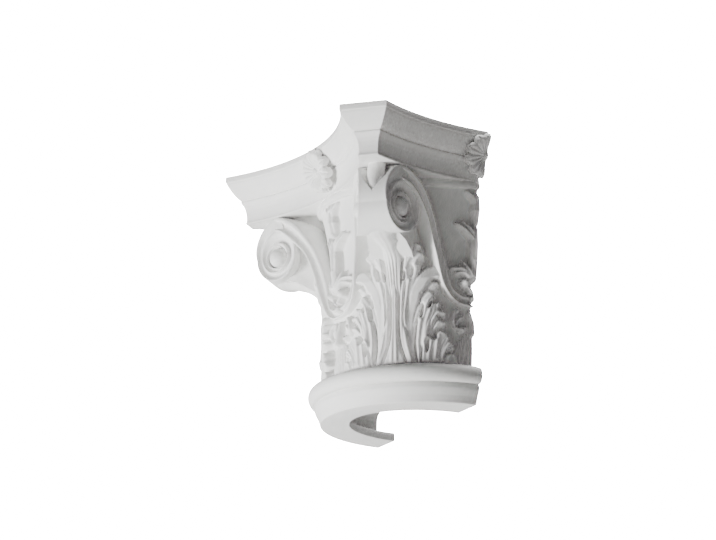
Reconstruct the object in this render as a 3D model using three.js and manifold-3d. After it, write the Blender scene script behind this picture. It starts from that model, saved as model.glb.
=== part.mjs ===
// Half capital of the corinthian order, moulded in one piece as a hollow shell.
// It stands against a wall, so it is cut off flat along the middle of its column and is open at the
// back and below. Millimetres, +Z up. All shapes are built about the column's axis, with the front
// at -Y, and the finished piece is then moved so that its bounding box is centred on the origin.

import * as THREE from 'three';
import { mergeVertices } from 'three/addons/utils/BufferGeometryUtils.js';
import Module from 'manifold-3d';

// Overall size
const HALF_WIDTH = 220;
const HEIGHT = 362;
const WALL = 12;
const SAW_KERF = 0.3;

// Abacus, the four-horned slab on top
const HORN_WIDTH = 63.4;
const HORN_REACH = HALF_WIDTH * Math.SQRT2 - HORN_WIDTH / 2;
const FACE_MIDDLE = 170;
const ABACUS_BOTTOM = 298;
const ABACUS_PROFILE = [
  // [inward offset, height]: cavetto, quirk, ovolo and fascia
  [25, ABACUS_BOTTOM], [24.4, 310], [22, 321], [18.2, 327.6],
  [18.2, 330.4], [15, 331.4], [7.1, 342], [1.2, 352], [0, 354], [0, HEIGHT],
];

// Bell, the flared core under the abacus
const BELL_FOOT = 54;
const BELL_RADIUS = 122;
const LIP_RADIUS = 148;

// Astragal ring at the foot of the bell, as [radius, height] from the underside up
const RING_HOLE = 100;
const RING_PROFILE = [
  [140, 0], [142.2, 8], [146.8, 17], [146.8, 24], [153, 29.5],
  [156, 37], [153, 45], [146, 50], [BELL_RADIUS, 57],
];
const RING_CAVITY_RADIUS = 143;
const RING_CAVITY_TOP = 42;

// Corner volutes, measured along the diagonal, across it and in height
const VOLUTE_CENTRE = 204.5;
const VOLUTE_OFFSET = 31;
const VOLUTE_HEIGHT = 242;
const VOLUTE_RADIUS = 33;
const VOLUTE_RISE = 24;
const VOLUTE_UNWIND = 0.75;
const VOLUTE_TURN = THREE.MathUtils.degToRad(21);
const VOLUTE_DEPTH = 34;
const EYE_RADIUS = 12;
// Solid web behind each pair of volutes, as [distance along the diagonal, height, half width]
const WEB = [
  [112, 178, 26], [138, 185, 27], [158, 197, 28], [176, 207, 26], [200, 215, 20],
  [214, 226, 17], [216, 246, 16], [210, 276, 17], [203, 300, 20], [112, 300, 27],
];

// Scroll bands, from the middle of a face up to a volute, as [place along the face, height, reach out
// from the axis]. They stand out further as they rise.
const SCROLL_UPPER = [
  [0, 146, 131], [-22, 150, 131], [-33, 163, 130.5], [-40, 190, 130.5], [-50, 218, 133.5],
  [-62, 245, 141], [-75, 265, 149.5], [-91, 284, 158], [-108, 294, 164.5], [-127, 299, 168],
];
const SCROLL_LOWER = [
  [0, 133, 131], [-20, 135.5, 131], [-39, 149, 132], [-50, 168, 134.5], [-58.5, 194, 138],
  [-69, 223, 142.5], [-83, 247, 152], [-97, 262.5, 160], [-110, 273, 165], [-124, 278.5, 168],
];
const SCROLL_FILLET = 0.24;
const SCROLL_CHANNEL_DEPTH = 4;
const SCROLL_ROOT = 112;

// Corner leaves: each lobe runs up the bell along [distance from the diagonal, height] and ends in
// fingers. Widths are half widths, and rises are heights above the bell, both from foot to end.
const LEAF_ARC_RADIUS = 130;
const LEAF_LOBES = [
  { path: [[13, 50], [12, 100], [13, 150], [20, 182], [28, 206]], width: [8, 8, 11, 6], rise: [13, 16, 22, 15] },
  { path: [[20, 50], [21, 95], [27, 140], [36, 168], [47, 178], [57, 168]], width: [7, 6, 7, 5], rise: [12, 13, 16, 10] },
  { path: [[27, 50], [28, 90], [33, 122], [43, 142], [55, 136]], width: [7, 6, 9, 4], rise: [10, 12, 15, 7] },
  { path: [[34, 50], [36, 80], [43, 104], [55, 119], [66, 113]], width: [7, 6, 8, 4], rise: [9, 11, 14, 6] },
  { path: [[42, 50], [44, 68], [52, 84], [62, 90], [72, 80]], width: [7, 6, 8, 4], rise: [8, 10, 13, 6] },
  { path: [[52, 50], [57, 60], [64, 66], [75, 60]], width: [7, 7, 7, 4], rise: [6, 9, 11, 6] },
];
const LEAF_FINGERS = [
  { path: [[14, 156], [23, 180], [35, 192]], width: [4, 7, 3], rise: [14, 18, 11] },
  { path: [[30, 118], [38, 136], [48, 148]], width: [4, 6, 3], rise: [10, 15, 10] },
  { path: [[36, 92], [48, 112], [60, 123]], width: [4, 6, 3], rise: [9, 14, 9] },
];
const LEAF_RIB = { path: [[0, 50], [0, 100], [0, 150], [0, 178]], width: [14, 8, 9, 17], rise: [15, 18, 17, 26] };
// Leaf tip that curls out under the volutes, as [distance along the diagonal, height, half width]
const LEAF_TIP = [
  [130, 150, 9], [146, 165, 9], [154, 186, 14], [173, 196.5, 19], [196, 201, 23.5], [214, 206, 26], [221, 212, 22],
];
const LEAF_TIP_THICKNESS = 9;

// Ornament in the middle of each face, as [distance from the face's middle, height]
const STALK = { path: [[0, 160], [0, 190], [0, 222], [0, 240]], width: [4, 6, 9, 7], rise: [8, 12, 14, 10] };
const FACE_LEAVES = [
  { path: [[0, 234], [5, 252], [11, 262]], width: [5, 6, 3], rise: [9, 12, 6] },
  { path: [[0, 226], [14, 238], [22, 240]], width: [5, 6, 3], rise: [10, 12, 6] },
  { path: [[2, 94], [20, 98], [22, 118]], width: [4, 5, 4], rise: [6, 9, 6] },
];
const FACE_BUDS = [[0, 266, 11, 15, 10], [0, 156, 8, 8, 10]];

// Fleuron, the flower in the middle of each side of the abacus
const FLEURON_HEIGHT = 329;
const FLEURON_RADIUS = 26;
const FLEURON_PETALS = 9;
const FLEURON_BASE = 140;
const FLEURON_LEAN = 0.36;

const WHITE_FOAM = new THREE.MeshStandardMaterial({ color: 0xf1f1ef, roughness: 0.62, metalness: 0 });

const wasm = await Module();
wasm.setup();

// A three.js geometry as a manifold solid.
function solidFrom(geometry) {
  const bare = geometry.index ? geometry : geometry.clone();
  bare.deleteAttribute('normal');
  bare.deleteAttribute('uv');
  const merged = mergeVertices(bare, 1e-4);
  const mesh = new wasm.Mesh({
    numProp: 3,
    vertProperties: new Float32Array(merged.attributes.position.array),
    triVerts: new Uint32Array(merged.index.array),
  });
  return new wasm.Manifold(mesh);
}

function geometryFrom(solid) {
  const mesh = solid.getMesh();
  const geometry = new THREE.BufferGeometry();
  geometry.setAttribute('position', new THREE.BufferAttribute(new Float32Array(mesh.vertProperties), 3));
  geometry.setIndex(new THREE.BufferAttribute(new Uint32Array(mesh.triVerts), 1));
  return geometry;
}

// Joins a row of closed sections, each a loop of the same number of points, and caps both ends.
function loft(sections) {
  const size = sections[0].length;
  const positions = sections.flat().flatMap((p) => [p.x, p.y, p.z]);
  const index = [];
  for (let row = 0; row + 1 < sections.length; row += 1) {
    for (let i = 0; i < size; i += 1) {
      const a = row * size + i;
      const b = row * size + ((i + 1) % size);
      index.push(a, b, b + size, a, b + size, a + size);
    }
  }
  const capFrom = (row, flip) => {
    const middle = new THREE.Vector3();
    sections[row].forEach((p) => middle.addScaledVector(p, 1 / size));
    const hub = positions.length / 3;
    positions.push(middle.x, middle.y, middle.z);
    for (let i = 0; i < size; i += 1) {
      const a = row * size + i;
      const b = row * size + ((i + 1) % size);
      index.push(...(flip ? [hub, b, a] : [hub, a, b]));
    }
  };
  capFrom(0, true);
  capFrom(sections.length - 1, false);
  const geometry = new THREE.BufferGeometry();
  geometry.setAttribute('position', new THREE.Float32BufferAttribute(positions, 3));
  geometry.setIndex(index);
  const solid = solidFrom(geometry);
  if (solid.volume() > 0) return solid;
  geometry.setIndex(index.map((_, i) => index[i - (i % 3) + 2 - (i % 3)]));
  return solidFrom(geometry);
}

// A solid of revolution about Z from an outline of [radius, height] that starts and ends on the axis.
function turned(outline, segments) {
  const points = outline.map(([radius, height]) => new THREE.Vector2(radius, height));
  const lathe = new THREE.LatheGeometry(points, segments);
  lathe.rotateX(Math.PI / 2);
  const solid = solidFrom(lathe);
  if (solid.volume() > 0) return solid;
  const flipped = new THREE.LatheGeometry(points.reverse(), segments);
  flipped.rotateX(Math.PI / 2);
  return solidFrom(flipped);
}

// Value at t (0 to 1) along evenly spaced samples.
function along(values, t) {
  const place = Math.min(Math.max(t, 0), 1) * (values.length - 1);
  const i = Math.min(Math.floor(place), values.length - 2);
  return values[i] + (values[i + 1] - values[i]) * (place - i);
}

function bellRadius(height) {
  const t = Math.min(Math.max((height - BELL_FOOT) / (ABACUS_BOTTOM - BELL_FOOT), 0), 1);
  return BELL_RADIUS + 12 * t ** 2 + 10 * t ** 6;
}

// Point beside the front right diagonal: out along it, across it towards the right face, and up.
function diagonalPoint(out, across, height) {
  return new THREE.Vector3((out + across) / Math.SQRT2, (across - out) / Math.SQRT2, height);
}

// Point on the bell: an arc length from a heading (0 at the front, growing to the right), and a rise.
function bellPoint(heading, arc, height, rise) {
  const angle = heading + arc / LEAF_ARC_RADIUS;
  const radius = bellRadius(height) + rise;
  return new THREE.Vector3(radius * Math.sin(angle), -radius * Math.cos(angle), height);
}

// A rounded lobe that follows a path up the bell, half sunk in it.
function lobe({ path, width, rise }, heading, side) {
  const curve = new THREE.CatmullRomCurve3(path.map(([arc, height]) => new THREE.Vector3(arc, height, 0)));
  const steps = path.length;
  // Outline of a section, as [share of the half width, share of the rise]
  const outline = [[-1, -0.3], [-0.75, 0.75], [0.1, 1], [0.85, 0.6], [1, -0.3]];
  const sections = [];
  for (let step = 0; step <= steps; step += 1) {
    const t = step / steps;
    const at = curve.getPoint(t);
    const run = curve.getTangent(t);
    const half = along(width, t);
    const crown = along(rise, t);
    sections.push(outline.map(([k, share]) => (
      bellPoint(heading, side * (at.x - run.y * half * k), at.y + run.x * half * k, crown * share)
    )));
  }
  return loft(sections);
}

// The abacus: a loop of its plan for each step of the profile. Each side is an arc that bows in.
function abacus() {
  const bow = HALF_WIDTH - FACE_MIDDLE;
  const halfChord = HALF_WIDTH - HORN_WIDTH / Math.SQRT2;
  const arcRadius = (halfChord ** 2 + bow ** 2) / (2 * bow);
  const arcCentre = FACE_MIDDLE + arcRadius;
  const steps = 12;
  const loops = ABACUS_PROFILE.map(([inset, height]) => {
    const radius = arcRadius + inset;
    const reach = HORN_REACH - inset;
    const span = Math.PI / 4 + Math.asin((Math.SQRT2 * reach - arcCentre) / (Math.SQRT2 * radius));
    const loop = [];
    for (let side = 0; side < 4; side += 1) {
      for (let step = 0; step <= steps; step += 1) {
        const angle = span * (2 * step / steps - 1);
        const point = new THREE.Vector3(radius * Math.sin(angle), -arcCentre + radius * Math.cos(angle), height);
        loop.push(point.applyAxisAngle(new THREE.Vector3(0, 0, 1), side * Math.PI / 2));
      }
    }
    return loop;
  });
  return loft(loops);
}

// The bell with its lip and the ring at its foot, as one turned body.
function bell() {
  const outline = [[0, 0], ...RING_PROFILE];
  for (let height = 100; height < ABACUS_BOTTOM - 12; height += 45) outline.push([bellRadius(height), height]);
  outline.push([bellRadius(288), 288], [LIP_RADIUS, 292], [LIP_RADIUS, 296.5]);
  outline.push([LIP_RADIUS - 6, ABACUS_BOTTOM + 2], [0, ABACUS_BOTTOM + 2]);
  return turned(outline, 44);
}

// The hollow: a round mouth through the underside, wider inside the ring, then up the bell to the
// underside of the top slab.
function hollow() {
  const outline = [
    [0, -WALL], [RING_HOLE, -WALL], [RING_HOLE, WALL], [RING_CAVITY_RADIUS, WALL],
    [RING_CAVITY_RADIUS, RING_CAVITY_TOP], [BELL_RADIUS - WALL, 62], [BELL_RADIUS - WALL, 200],
    [BELL_RADIUS - 4, HEIGHT - WALL], [0, HEIGHT - WALL],
  ];
  return turned(outline, 30);
}

// Point on a volute's face: along it, up, and out of it.
function volutePoint(run, lift, proud) {
  const out = VOLUTE_CENTRE + run * Math.cos(VOLUTE_TURN) + proud * Math.sin(VOLUTE_TURN);
  const across = VOLUTE_OFFSET - run * Math.sin(VOLUTE_TURN) + proud * Math.cos(VOLUTE_TURN);
  return diagonalPoint(out, across, VOLUTE_HEIGHT + lift);
}

// Radius of a volute's rim by the angle from its top, going out and down.
function rimRadius(angle) {
  return VOLUTE_RADIUS + VOLUTE_RISE * Math.exp(-angle / VOLUTE_UNWIND);
}

// One volute: a thick disc with a spiral channel in its face and a ball for its eye.
function volute() {
  const rimSteps = 24;
  const depths = [-VOLUTE_DEPTH, -1.5, 0];
  const discs = depths.map((proud) => {
    const ring = [];
    for (let step = 0; step < rimSteps; step += 1) {
      const angle = 2 * Math.PI * step / rimSteps;
      const radius = rimRadius(angle) - (proud === 0 ? 1.5 : 0);
      ring.push(volutePoint(radius * Math.sin(angle), radius * Math.cos(angle), proud));
    }
    return ring;
  });
  const turns = 1.4;
  const channelSteps = 16;
  const channel = [];
  for (let step = 0; step <= channelSteps; step += 1) {
    const t = step / channelSteps;
    const angle = 2 * Math.PI * turns * t;
    const middle = THREE.MathUtils.lerp(rimRadius(angle) - 9.5, EYE_RADIUS + 3.5, t ** 0.8);
    const half = THREE.MathUtils.lerp(5, 2.6, t);
    channel.push([[-half, 4], [0, -6.5], [half, 4]].map(([shift, proud]) => (
      volutePoint((middle + shift) * Math.sin(angle), (middle + shift) * Math.cos(angle), proud)
    )));
  }
  const eye = new THREE.SphereGeometry(EYE_RADIUS, 8, 6);
  const place = volutePoint(0, 0, -2);
  eye.translate(place.x, place.y, place.z);
  return loft(discs).subtract(loft(channel)).add(solidFrom(eye));
}

// One scroll band of the right face: raised edges, a channel between them, and deep side walls.
function scroll() {
  const edge = (points) => new THREE.CatmullRomCurve3(points.map(([place, height, reach]) => (
    new THREE.Vector3(reach, place, height)
  )));
  const upper = edge(SCROLL_UPPER);
  const lower = edge(SCROLL_LOWER);
  const steps = 12;
  const sections = [];
  for (let step = 0; step <= steps; step += 1) {
    const top = upper.getPoint(step / steps);
    const foot = lower.getPoint(step / steps);
    const across = (k, sunk) => {
      const at = foot.clone().lerp(top, k);
      return at.setX(at.x - sunk);
    };
    const deep = (k) => across(k, 0).setX(SCROLL_ROOT);
    sections.push([
      deep(0), across(0, 0), across(SCROLL_FILLET, 0), across(SCROLL_FILLET, SCROLL_CHANNEL_DEPTH),
      across(1 - SCROLL_FILLET, SCROLL_CHANNEL_DEPTH), across(1 - SCROLL_FILLET, 0), across(1, 0), deep(1),
    ]);
  }
  return loft(sections);
}

// The web that fills the corner between the bell and a pair of volutes.
function web() {
  return loft([-1, 1].map((side) => WEB.map(([out, height, half]) => diagonalPoint(out, side * half, height))));
}

// The leaf tip that leans out from the bell and curls under the volutes.
function leafTip() {
  const sections = LEAF_TIP.map(([out, height, half]) => {
    const under = [-1, -0.5, 0, 0.5, 1].map((k) => (
      diagonalPoint(out - 4 * k * k, half * k, height + 3 * k * k)
    ));
    const above = [1, 0, -1].map((k) => diagonalPoint(out - 4, half * k, height + LEAF_TIP_THICKNESS));
    return [...under, ...above];
  });
  return loft(sections);
}

// The flower in the middle of the front side of the abacus: scalloped petals round a small boss.
function fleuron() {
  const segments = FLEURON_PETALS * 2;
  const rings = [[1, 0], [1, 14], [0.86, 21], [0.5, 19], [0.24, 16], [0.2, 22]].map(([share, proud], row) => {
    const ring = [];
    for (let step = 0; step < segments; step += 1) {
      const angle = 2 * Math.PI * step / segments;
      const scallop = row < 4 ? 1 - 0.12 * Math.cos(FLEURON_PETALS * angle) ** 2 : 1;
      const radius = FLEURON_RADIUS * share * scallop;
      const lift = radius * Math.cos(angle);
      const out = FLEURON_BASE + 10 + proud + (row > 0 ? FLEURON_LEAN * lift : 0);
      ring.push(new THREE.Vector3(radius * Math.sin(angle), -out, FLEURON_HEIGHT + lift));
    }
    return ring;
  });
  return loft(rings);
}

// A bud: a ball squeezed to [half width, half height, depth], half sunk in the bell.
function bud([arc, height, half, tall, deep], heading) {
  const ball = new THREE.SphereGeometry(1, 7, 4);
  ball.scale(half, deep, tall);
  const place = bellPoint(heading, arc, height, 0);
  ball.rotateZ(heading);
  ball.translate(place.x, place.y, place.z);
  return solidFrom(ball);
}

// Everything on one front corner that is alike on both sides of the diagonal.
function corner() {
  const halves = [volute(), scroll()];
  const heading = Math.PI / 4;
  for (const shape of [...LEAF_LOBES, ...LEAF_FINGERS]) halves.push(lobe(shape, heading, 1));
  const right = wasm.Manifold.union(halves);
  const left = right.mirror([1, 1, 0]);
  return wasm.Manifold.union([right, left, lobe(LEAF_RIB, heading, 1), leafTip(), web()]);
}

// The carving in the middle of one face.
function faceOrnament(heading) {
  const pieces = [lobe(STALK, heading, 1)];
  for (const side of [-1, 1]) {
    for (const leaf of FACE_LEAVES) pieces.push(lobe(leaf, heading, side));
  }
  for (const shape of FACE_BUDS) pieces.push(bud(shape, heading));
  return wasm.Manifold.union(pieces);
}

function halfCapital() {
  const rightCorner = corner();
  const flower = fleuron();
  const pieces = [bell(), abacus(), rightCorner, rightCorner.mirror([1, 0, 0])];
  for (const quarter of [-1, 0, 1]) {
    pieces.push(faceOrnament(quarter * Math.PI / 2));
    pieces.push(flower.rotate([0, 0, quarter * 90]));
  }
  const whole = wasm.Manifold.union(pieces).subtract(hollow());
  // The saw cut takes half its kerf off the front half.
  const front = new THREE.BoxGeometry(4 * HALF_WIDTH, 2 * HALF_WIDTH, 4 * HEIGHT);
  front.translate(0, -HALF_WIDTH - SAW_KERF / 2, 0);
  const cut = whole.intersect(solidFrom(front));
  // Only the outer skin is kept, so gaps sealed inside the corners are filled with foam.
  const skins = cut.decompose();
  return skins.reduce((best, skin) => (skin.volume() > best.volume() ? skin : best));
}

const mesh = new THREE.Mesh(geometryFrom(halfCapital()), WHITE_FOAM);
mesh.name = 'half_capital';
mesh.position.y = (HALF_WIDTH + SAW_KERF / 2) / 2;

const model = new THREE.Group();
model.add(mesh);
export default model;
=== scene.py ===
"""Half corinthian capital, moulded in one piece of rigid foam and primed white.

The piece is a hollow shell, open at the back and below. It is modelled as a plain shell with its
abacus, and the ornament that stands on it: the carved bell, the leaf tips, the scroll bands, the
corner volutes and the flowers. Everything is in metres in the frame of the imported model; sizes are
written in millimetres round the column's axis, with the front at -Y.
"""

import math

import bmesh
import bpy
import numpy as np
from mathutils import Matrix, Vector


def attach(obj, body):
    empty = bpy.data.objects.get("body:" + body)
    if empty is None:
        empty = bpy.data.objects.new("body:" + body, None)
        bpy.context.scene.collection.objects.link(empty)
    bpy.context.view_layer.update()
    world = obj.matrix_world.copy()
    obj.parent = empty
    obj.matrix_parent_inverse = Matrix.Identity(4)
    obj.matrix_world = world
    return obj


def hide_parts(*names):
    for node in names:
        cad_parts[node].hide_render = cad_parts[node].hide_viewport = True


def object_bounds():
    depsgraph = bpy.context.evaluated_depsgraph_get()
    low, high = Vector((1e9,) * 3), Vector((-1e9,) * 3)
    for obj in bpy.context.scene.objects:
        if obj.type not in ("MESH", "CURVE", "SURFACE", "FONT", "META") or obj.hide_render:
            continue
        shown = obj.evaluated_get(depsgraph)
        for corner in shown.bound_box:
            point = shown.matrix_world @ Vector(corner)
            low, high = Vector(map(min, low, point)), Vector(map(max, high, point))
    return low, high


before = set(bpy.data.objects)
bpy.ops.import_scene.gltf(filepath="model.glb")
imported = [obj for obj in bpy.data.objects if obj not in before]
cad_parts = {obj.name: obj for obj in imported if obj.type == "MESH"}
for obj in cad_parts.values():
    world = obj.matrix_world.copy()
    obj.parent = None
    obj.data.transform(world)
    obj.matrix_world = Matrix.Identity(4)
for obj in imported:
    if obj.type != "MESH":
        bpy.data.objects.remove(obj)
cad_low, cad_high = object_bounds()

# ----------------------------------------
# Camera and light. The capital hangs high, as it does on a wall, so it is seen from below and from
# its right, through a long lens. The room is white. A large soft light stands low in front, a weak
# one low on the right, and one high up behind lights the floor.
# ----------------------------------------
VIEW_AZIMUTH = 63.57
VIEW_ELEVATION = -16.15
VIEW_ROLL = 0.70
VIEW_DISTANCE = 4.4
VIEW_TARGET = Vector((0.0065, 0.0036, 0.1998))
LENS_MM = 167.25
SENSOR_MM = 36.0
FARTHEST_SEEN = 50.0


def view_direction(azimuth, elevation):
    """Unit vector from the capital towards a viewer at that azimuth and elevation in degrees."""
    turn, rise = math.radians(azimuth), math.radians(elevation)
    return Vector((math.sin(turn) * math.cos(rise), -math.cos(turn) * math.cos(rise), math.sin(rise)))


towards_viewer = view_direction(VIEW_AZIMUTH, VIEW_ELEVATION)
camera_data = bpy.data.cameras.new("camera")
camera_data.lens = LENS_MM
camera_data.sensor_width = SENSOR_MM
camera_data.clip_end = FARTHEST_SEEN
camera = bpy.data.objects.new("camera", camera_data)
bpy.context.scene.collection.objects.link(camera)
camera.rotation_mode = "QUATERNION"
level = (-towards_viewer).to_track_quat("-Z", "Y")
camera.rotation_quaternion = level @ Matrix.Rotation(math.radians(VIEW_ROLL), 3, "Z").to_quaternion()
camera.location = VIEW_TARGET + towards_viewer * VIEW_DISTANCE
bpy.context.scene.camera = camera


LIT_POINT = Vector((0, 0, 0.2))


def soft_light(name, azimuth, elevation, distance, size, watts):
    """A round soft light that faces the lit point from that azimuth and elevation in degrees."""
    data = bpy.data.lights.new(name, "AREA")
    data.shape = "DISK"
    data.size = size
    data.energy = watts
    light = bpy.data.objects.new(name, data)
    bpy.context.scene.collection.objects.link(light)
    direction = view_direction(azimuth, elevation)
    light.location = LIT_POINT + direction * distance
    light.rotation_mode = "QUATERNION"
    light.rotation_quaternion = (-direction).to_track_quat("-Z", "Y")


soft_light("key_low_front", -11, -26, 3.2, 1.3, 245)
soft_light("fill_low_right", 62, -54, 3.0, 1.6, 52)
soft_light("top_for_floor", 180, 84, 4.0, 2.0, 300)

world = bpy.data.worlds.new("white_room")
world.use_nodes = True
bpy.context.scene.world = world


def linear(hex_value):
    """sRGB hex colour as linear RGBA."""
    channels = [int(hex_value[i:i + 2], 16) / 255 for i in (0, 2, 4)]
    return (*[c / 12.92 if c <= 0.04045 else ((c + 0.055) / 1.055) ** 2.4 for c in channels], 1.0)


def add_node(tree, kind, settings=None, links=None):
    """Adds a node, sets inputs and properties by name, and links its inputs from other sockets."""
    node = tree.nodes.new(kind)
    for name, value in (settings or {}).items():
        if name in node.inputs:
            node.inputs[name].default_value = value
        else:
            setattr(node, name, value)
    for name, source in (links or {}).items():
        tree.links.new(source, node.inputs[name])
    return node


# The room's walls light the piece faintly, and are seen themselves as a clean bright white
ROOM_LIGHT = 0.04
ROOM_SEEN = 40.0
room = world.node_tree.nodes["Background"]
room.inputs["Color"].default_value = (1, 1, 1, 1)
seen = add_node(world.node_tree, "ShaderNodeLightPath").outputs["Is Camera Ray"]
strength = add_node(
    world.node_tree, "ShaderNodeMapRange", {"To Min": ROOM_LIGHT, "To Max": ROOM_SEEN}, {"Value": seen}
)
world.node_tree.links.new(strength.outputs["Result"], room.inputs["Strength"])


# ----------------------------------------
# White primed foam: high-density polyurethane with a smooth moulded skin and a matte factory
# primer. It gives an even, chalky white with the faintest unevenness of sprayed primer.
# ----------------------------------------
def primed_foam():
    material = bpy.data.materials.new("primed_rigid_foam_matte")
    material.use_nodes = True
    tree = material.node_tree
    shader = tree.nodes["Principled BSDF"]
    place = add_node(tree, "ShaderNodeTexCoord").outputs["Object"]
    # Primer lies a little thicker in places, over 60 mm or so
    cloud = add_node(tree, "ShaderNodeTexNoise", {"Scale": 16.0, "Detail": 3.0}, {"Vector": place})
    tone = add_node(tree, "ShaderNodeValToRGB", links={"Fac": cloud.outputs["Fac"]})
    tone.color_ramp.elements[0].position = 0.3
    tone.color_ramp.elements[0].color = linear("eeeeec")
    tone.color_ramp.elements[1].position = 0.7
    tone.color_ramp.elements[1].color = linear("f4f4f2")
    tree.links.new(tone.outputs["Color"], shader.inputs["Base Color"])
    # Sprayed primer's fine orange peel, about 1.5 mm from crest to crest
    peel = add_node(tree, "ShaderNodeTexNoise", {"Scale": 650.0, "Detail": 2.0}, {"Vector": place})
    gloss = add_node(
        tree, "ShaderNodeMapRange", {"To Min": 0.55, "To Max": 0.68}, {"Value": cloud.outputs["Fac"]}
    )
    tree.links.new(gloss.outputs["Result"], shader.inputs["Roughness"])
    bump = add_node(
        tree, "ShaderNodeBump", {"Strength": 0.06, "Distance": 0.0004}, {"Height": peel.outputs["Fac"]}
    )
    tree.links.new(bump.outputs["Normal"], shader.inputs["Normal"])
    shader.inputs["Specular IOR Level"].default_value = 0.35
    return material


FOAM = primed_foam()

# ----------------------------------------
# Shell: the foot ring and the plain bell, 12 mm thick and hollow, open at the back. Half a turn of
# one closed outline, swept by Geometry Nodes, with flat faces where the saw parted the halves.
# ----------------------------------------
ABACUS_BOTTOM = 298.0
BELL_FOOT = 54.0
BELL_RADIUS = 122.0
LIP_RADIUS = 148.0
WALL = 12.0
MOUTH_RADIUS = 100.0
MOUTH_OVAL = (0.91, 1.04, 1)
RING_HOLLOW = (143.0, 42.0)
UPPER_HOLLOW_RADIUS = 115.3
SWEEP_SEGMENTS = 181
GUIDE_RADIUS = 130.0
# The column's axis stands on the flat back, less half the saw cut that parted the two halves
AXIS_Y = (cad_high.y - cad_low.y) / 2 * 1000


def mesh_piece(name, points, faces, sharp_degrees=40):
    """Links a piece made of points in millimetres round the column's axis, with its faces outward."""
    points = np.asarray(points, float).reshape(-1, 3) * 0.001
    points[:, 1] += AXIS_Y * 0.001
    mesh = bpy.data.meshes.new(name)
    mesh.from_pydata(points.tolist(), [], faces)
    mesh.validate()
    mesh.calc_loop_triangles()
    corners = points[np.array([triangle.vertices for triangle in mesh.loop_triangles])]
    if np.einsum("ij,ij->", corners[:, 0], np.cross(corners[:, 1], corners[:, 2])) < 0:
        mesh.flip_normals()
    mesh.materials.append(FOAM)
    mesh.polygons.foreach_set("use_smooth", [True] * len(mesh.polygons))
    mesh.set_sharp_from_angle(angle=math.radians(sharp_degrees))
    piece = bpy.data.objects.new(name, mesh)
    bpy.context.scene.collection.objects.link(piece)
    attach(piece, "root")
    return piece


def rounded(points, reach, steps=4):
    """An open outline with its corners rounded off by an arc that starts at most reach away."""
    points = [np.array(p, float) for p in points]
    out = [points[0]]
    for before, corner, after in zip(points, points[1:], points[2:]):
        # Two arcs on one short side never meet
        before_length, after_length = np.linalg.norm(before - corner), np.linalg.norm(after - corner)
        near = min(reach, before_length / 2.1, after_length / 2.1)
        start = corner + (before - corner) / before_length * near
        end = corner + (after - corner) / after_length * near
        for k in np.linspace(0, 1, steps):
            out.append((1 - k) ** 2 * start + 2 * k * (1 - k) * corner + k ** 2 * end)
    return out + [points[-1]]


def bell_radius(height):
    """The plain bell's outer radius: nearly straight at first, then flaring up to its lip."""
    t = np.clip((height - BELL_FOOT) / (ABACUS_BOTTOM - BELL_FOOT), 0, 1)
    return BELL_RADIUS + 12 * t ** 2 + 10 * t ** 6


def shell_outline():
    """Closed outline of [radius, height]: round the ring, up the bell, then down the hollow."""
    foot = [
        (MOUTH_RADIUS, 0), (140, 0), (140.8, 3.5), (143, 9.5), (146.4, 16), (147.6, 19), (147.6, 23.4),
    ]
    quirk = [(147.6, 24.2), (145.6, 24.6), (145.6, 25.6), (148.6, 26.2)]
    torus = [(147 + 9.6 * math.cos(a), 36.6 + 11.2 * math.sin(a)) for a in np.linspace(-1.2, 1.25, 18)]
    slope = [(144, 49.4), (137, 52.2), (128, 54.6), (BELL_RADIUS + 1, 57.5)]
    bell = [(bell_radius(z), z) for z in np.linspace(61, 286, 40)]
    lip = [
        (bell_radius(288), 288.4), (146.4, 289.4), (LIP_RADIUS, 292), (147.6, 295.6), (146, 298.4),
        (142, 299.6),
    ]
    hollow = [(UPPER_HOLLOW_RADIUS, 300), (BELL_RADIUS - WALL, 200), (BELL_RADIUS - WALL, 64)]
    ring_hollow = [(124, 58), RING_HOLLOW, (RING_HOLLOW[0], WALL), (MOUTH_RADIUS, WALL)]
    outside = rounded(foot, 1.0) + quirk + torus + slope + bell + lip
    return outside + rounded(hollow + ring_hollow + [(MOUTH_RADIUS, 0.4)], 6.0)


def node_tree(name, inputs):
    """A Geometry Nodes tree with named inputs, and one output."""
    tree = bpy.data.node_groups.new(name, "GeometryNodeTree")
    for label, kind in inputs:
        tree.interface.new_socket(label, in_out="INPUT", socket_type="NodeSocket" + kind)
    tree.interface.new_socket("Shape", in_out="OUTPUT", socket_type="NodeSocketGeometry")
    return tree


def end_tree(tree, shape, material):
    """Ends a tree in real geometry with its material set."""
    real = add_node(tree, "GeometryNodeRealizeInstances", links={"Geometry": shape})
    painted = add_node(
        tree, "GeometryNodeSetMaterial",
        links={"Geometry": real.outputs["Geometry"], "Material": material},
    )
    add_node(tree, "NodeGroupOutput", links={"Shape": painted.outputs["Geometry"]})


def half_turn_tree():
    """Geometry Nodes that sweep a closed outline half a turn about Z and close its two ends."""
    tree = node_tree("half_turn", [
        ("Outline", "Geometry"), ("Segments", "Int"), ("Guide Radius", "Float"), ("Material", "Material"),
    ])
    given = add_node(tree, "NodeGroupInput").outputs
    outline = add_node(tree, "GeometryNodeMeshToCurve", links={"Mesh": given["Outline"]})
    arc = add_node(
        tree, "GeometryNodeCurveArc", {"Start Angle": math.pi, "Sweep Angle": math.pi},
        {"Resolution": given["Segments"], "Radius": given["Guide Radius"]},
    )
    sweep = add_node(
        tree, "GeometryNodeCurveToMesh", {"Fill Caps": True},
        {"Curve": arc.outputs["Curve"], "Profile Curve": outline.outputs["Curve"]},
    )
    end_tree(tree, sweep.outputs["Mesh"], given["Material"])
    return tree


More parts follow.
